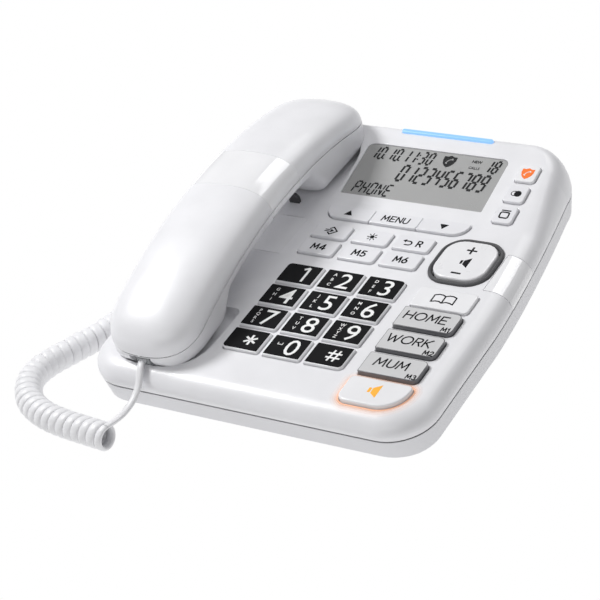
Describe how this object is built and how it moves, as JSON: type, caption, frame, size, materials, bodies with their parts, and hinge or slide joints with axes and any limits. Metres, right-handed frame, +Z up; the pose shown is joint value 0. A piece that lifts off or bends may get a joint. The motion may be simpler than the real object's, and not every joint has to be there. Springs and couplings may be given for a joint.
{
  "type": "corded landline phone",
  "caption": "Corded desk telephone with a wedge base, big keys, tilted display, arched handset in two wells and a curly cord.",
  "frame": {"origin": "on the table under the middle of the base's bounding box, measured without the cord", "axes": "+X across to the right-hand side keys, +Y towards the rear edge behind the display, +Z up"},
  "size_m": [0.2349, 0.2533, 0.0813],
  "materials": {
    "white_shell": "satin white moulding",
    "gloss_trim": "glossy white inlay",
    "white_key": "white key with a black printed face",
    "grey_key": "light grey, glossy",
    "rocker_grey": "mid grey, glossy",
    "dark_plastic": "dark grey",
    "black_plastic": "black",
    "label": "grey paper under a clear cover",
    "window": "clear flush window",
    "display": "grey reflective display with black segments",
    "light": "pale blue ringer light",
    "board": "green circuit board",
    "mat": "grey silicone",
    "rubber": "black rubber",
    "steel": "zinc plated",
    "cord": "white vinyl jacket, satin",
    "clear_plug": "clear moulded plug"
  },
  "bodies": {
    "base": {"base_top_shell": "white_shell", "base_bottom_shell": "white_shell", "side_trims": "gloss_trim", "lcd_window": "window", "lcd_panel": "display", "light_bar": "light", "main_board": "board", "key_mat": "mat", "loudspeaker": "black_plastic", "line_jack": "black_plastic", "power_jack": "black_plastic", "handset_jack": "black_plastic", "rubber_feet": "rubber", "base_screws": "steel", "volume_ring": "dark_plastic", "handset_tab": "dark_plastic", "hook_spring": "steel", "cord_coil": "cord", "cord_tail": "cord", "cord_lead": "cord", "cord_plug": "clear_plug"},
    "handset": {"handset_upper_shell": "white_shell", "handset_lower_shell": "white_shell", "handset_receiver": "black_plastic", "handset_microphone": "black_plastic", "handset_plug": "clear_plug"},
    "hook": {"hook_plunger": "white_shell"},
    "rocker": {"volume_rocker": "rocker_grey"},
    "key_1_body": {"key_1": "white_key"},
    "key_2_body": {"key_2": "white_key"},
    "key_3_body": {"key_3": "white_key"},
    "key_4_body": {"key_4": "white_key"},
    "key_5_body": {"key_5": "white_key"},
    "key_6_body": {"key_6": "white_key"},
    "key_7_body": {"key_7": "white_key"},
    "key_8_body": {"key_8": "white_key"},
    "key_9_body": {"key_9": "white_key"},
    "key_star_body": {"key_star": "white_key"},
    "key_0_body": {"key_0": "white_key"},
    "key_hash_body": {"key_hash": "white_key"},
    "key_up_body": {"key_up": "grey_key"},
    "key_menu_body": {"key_menu": "grey_key"},
    "key_down_body": {"key_down": "grey_key"},
    "key_redial_body": {"key_redial": "grey_key"},
    "key_brightness_body": {"key_brightness": "grey_key"},
    "key_flash_body": {"key_flash": "grey_key"},
    "key_m4_body": {"key_m4": "grey_key"},
    "key_m5_body": {"key_m5": "grey_key"},
    "key_m6_body": {"key_m6": "grey_key"},
    "key_phonebook_body": {"key_phonebook": "white_key"},
    "key_m1_body": {"key_m1": "white_key", "label_m1": "label"},
    "key_m2_body": {"key_m2": "white_key", "label_m2": "label"},
    "key_m3_body": {"key_m3": "white_key", "label_m3": "label"},
    "key_handsfree_body": {"key_handsfree": "white_key"},
    "key_block_body": {"key_block": "grey_key"},
    "key_toggle_body": {"key_toggle": "grey_key"},
    "key_clear_body": {"key_clear": "grey_key"}
  },
  "joints": [
    {"name": "handset_lift", "type": "slide", "parent": "base", "child": "handset", "axis": [0, -0.1219, 0.9925], "range_m": [0, 0.06]},
    {"name": "hook_rise", "type": "slide", "parent": "base", "child": "hook", "axis": [0, -0.1219, 0.9925], "range_m": [0, 0.004], "deforming": ["hook_spring"]},
    {"name": "volume_rock", "type": "hinge", "parent": "base", "child": "rocker", "pos_m": [0.0635, 0.0102, 0.03424], "axis": [1, 0, 0], "range_deg": [-4, 4], "stiffness_Nm_per_rad": 0.5},
    {"name": "key_1_press", "type": "slide", "parent": "base", "child": "key_1_body", "axis": [0, 0.1219, -0.9925], "range_m": [0, 0.0013], "stiffness_N_per_m": 600, "springref_m": -0.0005},
    {"name": "key_2_press", "type": "slide", "parent": "base", "child": "key_2_body", "axis": [0, 0.1219, -0.9925], "range_m": [0, 0.0013], "stiffness_N_per_m": 600, "springref_m": -0.0005},
    {"name": "key_3_press", "type": "slide", "parent": "base", "child": "key_3_body", "axis": [0, 0.1219, -0.9925], "range_m": [0, 0.0013], "stiffness_N_per_m": 600, "springref_m": -0.0005},
    {"name": "key_4_press", "type": "slide", "parent": "base", "child": "key_4_body", "axis": [0, 0.1219, -0.9925], "range_m": [0, 0.0013], "stiffness_N_per_m": 600, "springref_m": -0.0005},
    {"name": "key_5_press", "type": "slide", "parent": "base", "child": "key_5_body", "axis": [0, 0.1219, -0.9925], "range_m": [0, 0.0013], "stiffness_N_per_m": 600, "springref_m": -0.0005},
    {"name": "key_6_press", "type": "slide", "parent": "base", "child": "key_6_body", "axis": [0, 0.1219, -0.9925], "range_m": [0, 0.0013], "stiffness_N_per_m": 600, "springref_m": -0.0005},
    {"name": "key_7_press", "type": "slide", "parent": "base", "child": "key_7_body", "axis": [0, 0.1219, -0.9925], "range_m": [0, 0.0013], "stiffness_N_per_m": 600, "springref_m": -0.0005},
    {"name": "key_8_press", "type": "slide", "parent": "base", "child": "key_8_body", "axis": [0, 0.1219, -0.9925], "range_m": [0, 0.0013], "stiffness_N_per_m": 600, "springref_m": -0.0005},
    {"name": "key_9_press", "type": "slide", "parent": "base", "child": "key_9_body", "axis": [0, 0.1219, -0.9925], "range_m": [0, 0.0013], "stiffness_N_per_m": 600, "springref_m": -0.0005},
    {"name": "key_star_press", "type": "slide", "parent": "base", "child": "key_star_body", "axis": [0, 0.1219, -0.9925], "range_m": [0, 0.0013], "stiffness_N_per_m": 600, "springref_m": -0.0005},
    {"name": "key_0_press", "type": "slide", "parent": "base", "child": "key_0_body", "axis": [0, 0.1219, -0.9925], "range_m": [0, 0.0013], "stiffness_N_per_m": 600, "springref_m": -0.0005},
    {"name": "key_hash_press", "type": "slide", "parent": "base", "child": "key_hash_body", "axis": [0, 0.1219, -0.9925], "range_m": [0, 0.0013], "stiffness_N_per_m": 600, "springref_m": -0.0005},
    {"name": "key_up_press", "type": "slide", "parent": "base", "child": "key_up_body", "axis": [0, 0.1219, -0.9925], "range_m": [0, 0.0013], "stiffness_N_per_m": 600, "springref_m": -0.0005},
    {"name": "key_menu_press", "type": "slide", "parent": "base", "child": "key_menu_body", "axis": [0, 0.1219, -0.9925], "range_m": [0, 0.0013], "stiffness_N_per_m": 600, "springref_m": -0.0005},
    {"name": "key_down_press", "type": "slide", "parent": "base", "child": "key_down_body", "axis": [0, 0.1219, -0.9925], "range_m": [0, 0.0013], "stiffness_N_per_m": 600, "springref_m": -0.0005},
    {"name": "key_redial_press", "type": "slide", "parent": "base", "child": "key_redial_body", "axis": [0, 0.1219, -0.9925], "range_m": [0, 0.0013], "stiffness_N_per_m": 600, "springref_m": -0.0005},
    {"name": "key_brightness_press", "type": "slide", "parent": "base", "child": "key_brightness_body", "axis": [0, 0.1219, -0.9925], "range_m": [0, 0.0013], "stiffness_N_per_m": 600, "springref_m": -0.0005},
    {"name": "key_flash_press", "type": "slide", "parent": "base", "child": "key_flash_body", "axis": [0, 0.1219, -0.9925], "range_m": [0, 0.0013], "stiffness_N_per_m": 600, "springref_m": -0.0005},
    {"name": "key_m4_press", "type": "slide", "parent": "base", "child": "key_m4_body", "axis": [0, 0.1219, -0.9925], "range_m": [0, 0.0013], "stiffness_N_per_m": 600, "springref_m": -0.0005},
    {"name": "key_m5_press", "type": "slide", "parent": "base", "child": "key_m5_body", "axis": [0, 0.1219, -0.9925], "range_m": [0, 0.0013], "stiffness_N_per_m": 600, "springref_m": -0.0005},
    {"name": "key_m6_press", "type": "slide", "parent": "base", "child": "key_m6_body", "axis": [0, 0.1219, -0.9925], "range_m": [0, 0.0013], "stiffness_N_per_m": 600, "springref_m": -0.0005},
    {"name": "key_phonebook_press", "type": "slide", "parent": "base", "child": "key_phonebook_body", "axis": [0, 0.1219, -0.9925], "range_m": [0, 0.0013], "stiffness_N_per_m": 600, "springref_m": -0.0005},
    {"name": "key_m1_press", "type": "slide", "parent": "base", "child": "key_m1_body", "axis": [0, 0.1219, -0.9925], "range_m": [0, 0.0013], "stiffness_N_per_m": 600, "springref_m": -0.0005},
    {"name": "key_m2_press", "type": "slide", "parent": "base", "child": "key_m2_body", "axis": [0, 0.1219, -0.9925], "range_m": [0, 0.0013], "stiffness_N_per_m": 600, "springref_m": -0.0005},
    {"name": "key_m3_press", "type": "slide", "parent": "base", "child": "key_m3_body", "axis": [0, 0.1219, -0.9925], "range_m": [0, 0.0013], "stiffness_N_per_m": 600, "springref_m": -0.0005},
    {"name": "key_handsfree_press", "type": "slide", "parent": "base", "child": "key_handsfree_body", "axis": [0, 0.1219, -0.9925], "range_m": [0, 0.0013], "stiffness_N_per_m": 600, "springref_m": -0.0005},
    {"name": "key_block_press", "type": "slide", "parent": "base", "child": "key_block_body", "axis": [0, 0.2974, -0.9548], "range_m": [0, 0.0013], "stiffness_N_per_m": 600, "springref_m": -0.0005},
    {"name": "key_toggle_press", "type": "slide", "parent": "base", "child": "key_toggle_body", "axis": [0, 0.2974, -0.9548], "range_m": [0, 0.0013], "stiffness_N_per_m": 600, "springref_m": -0.0005},
    {"name": "key_clear_press", "type": "slide", "parent": "base", "child": "key_clear_body", "axis": [0, 0.2974, -0.9548], "range_m": [0, 0.0013], "stiffness_N_per_m": 600, "springref_m": -0.0005}
  ],
  "couplings": [
    {"joint": "hook_rise", "follows": "handset_lift", "ratio": 0.0666}
  ]
}
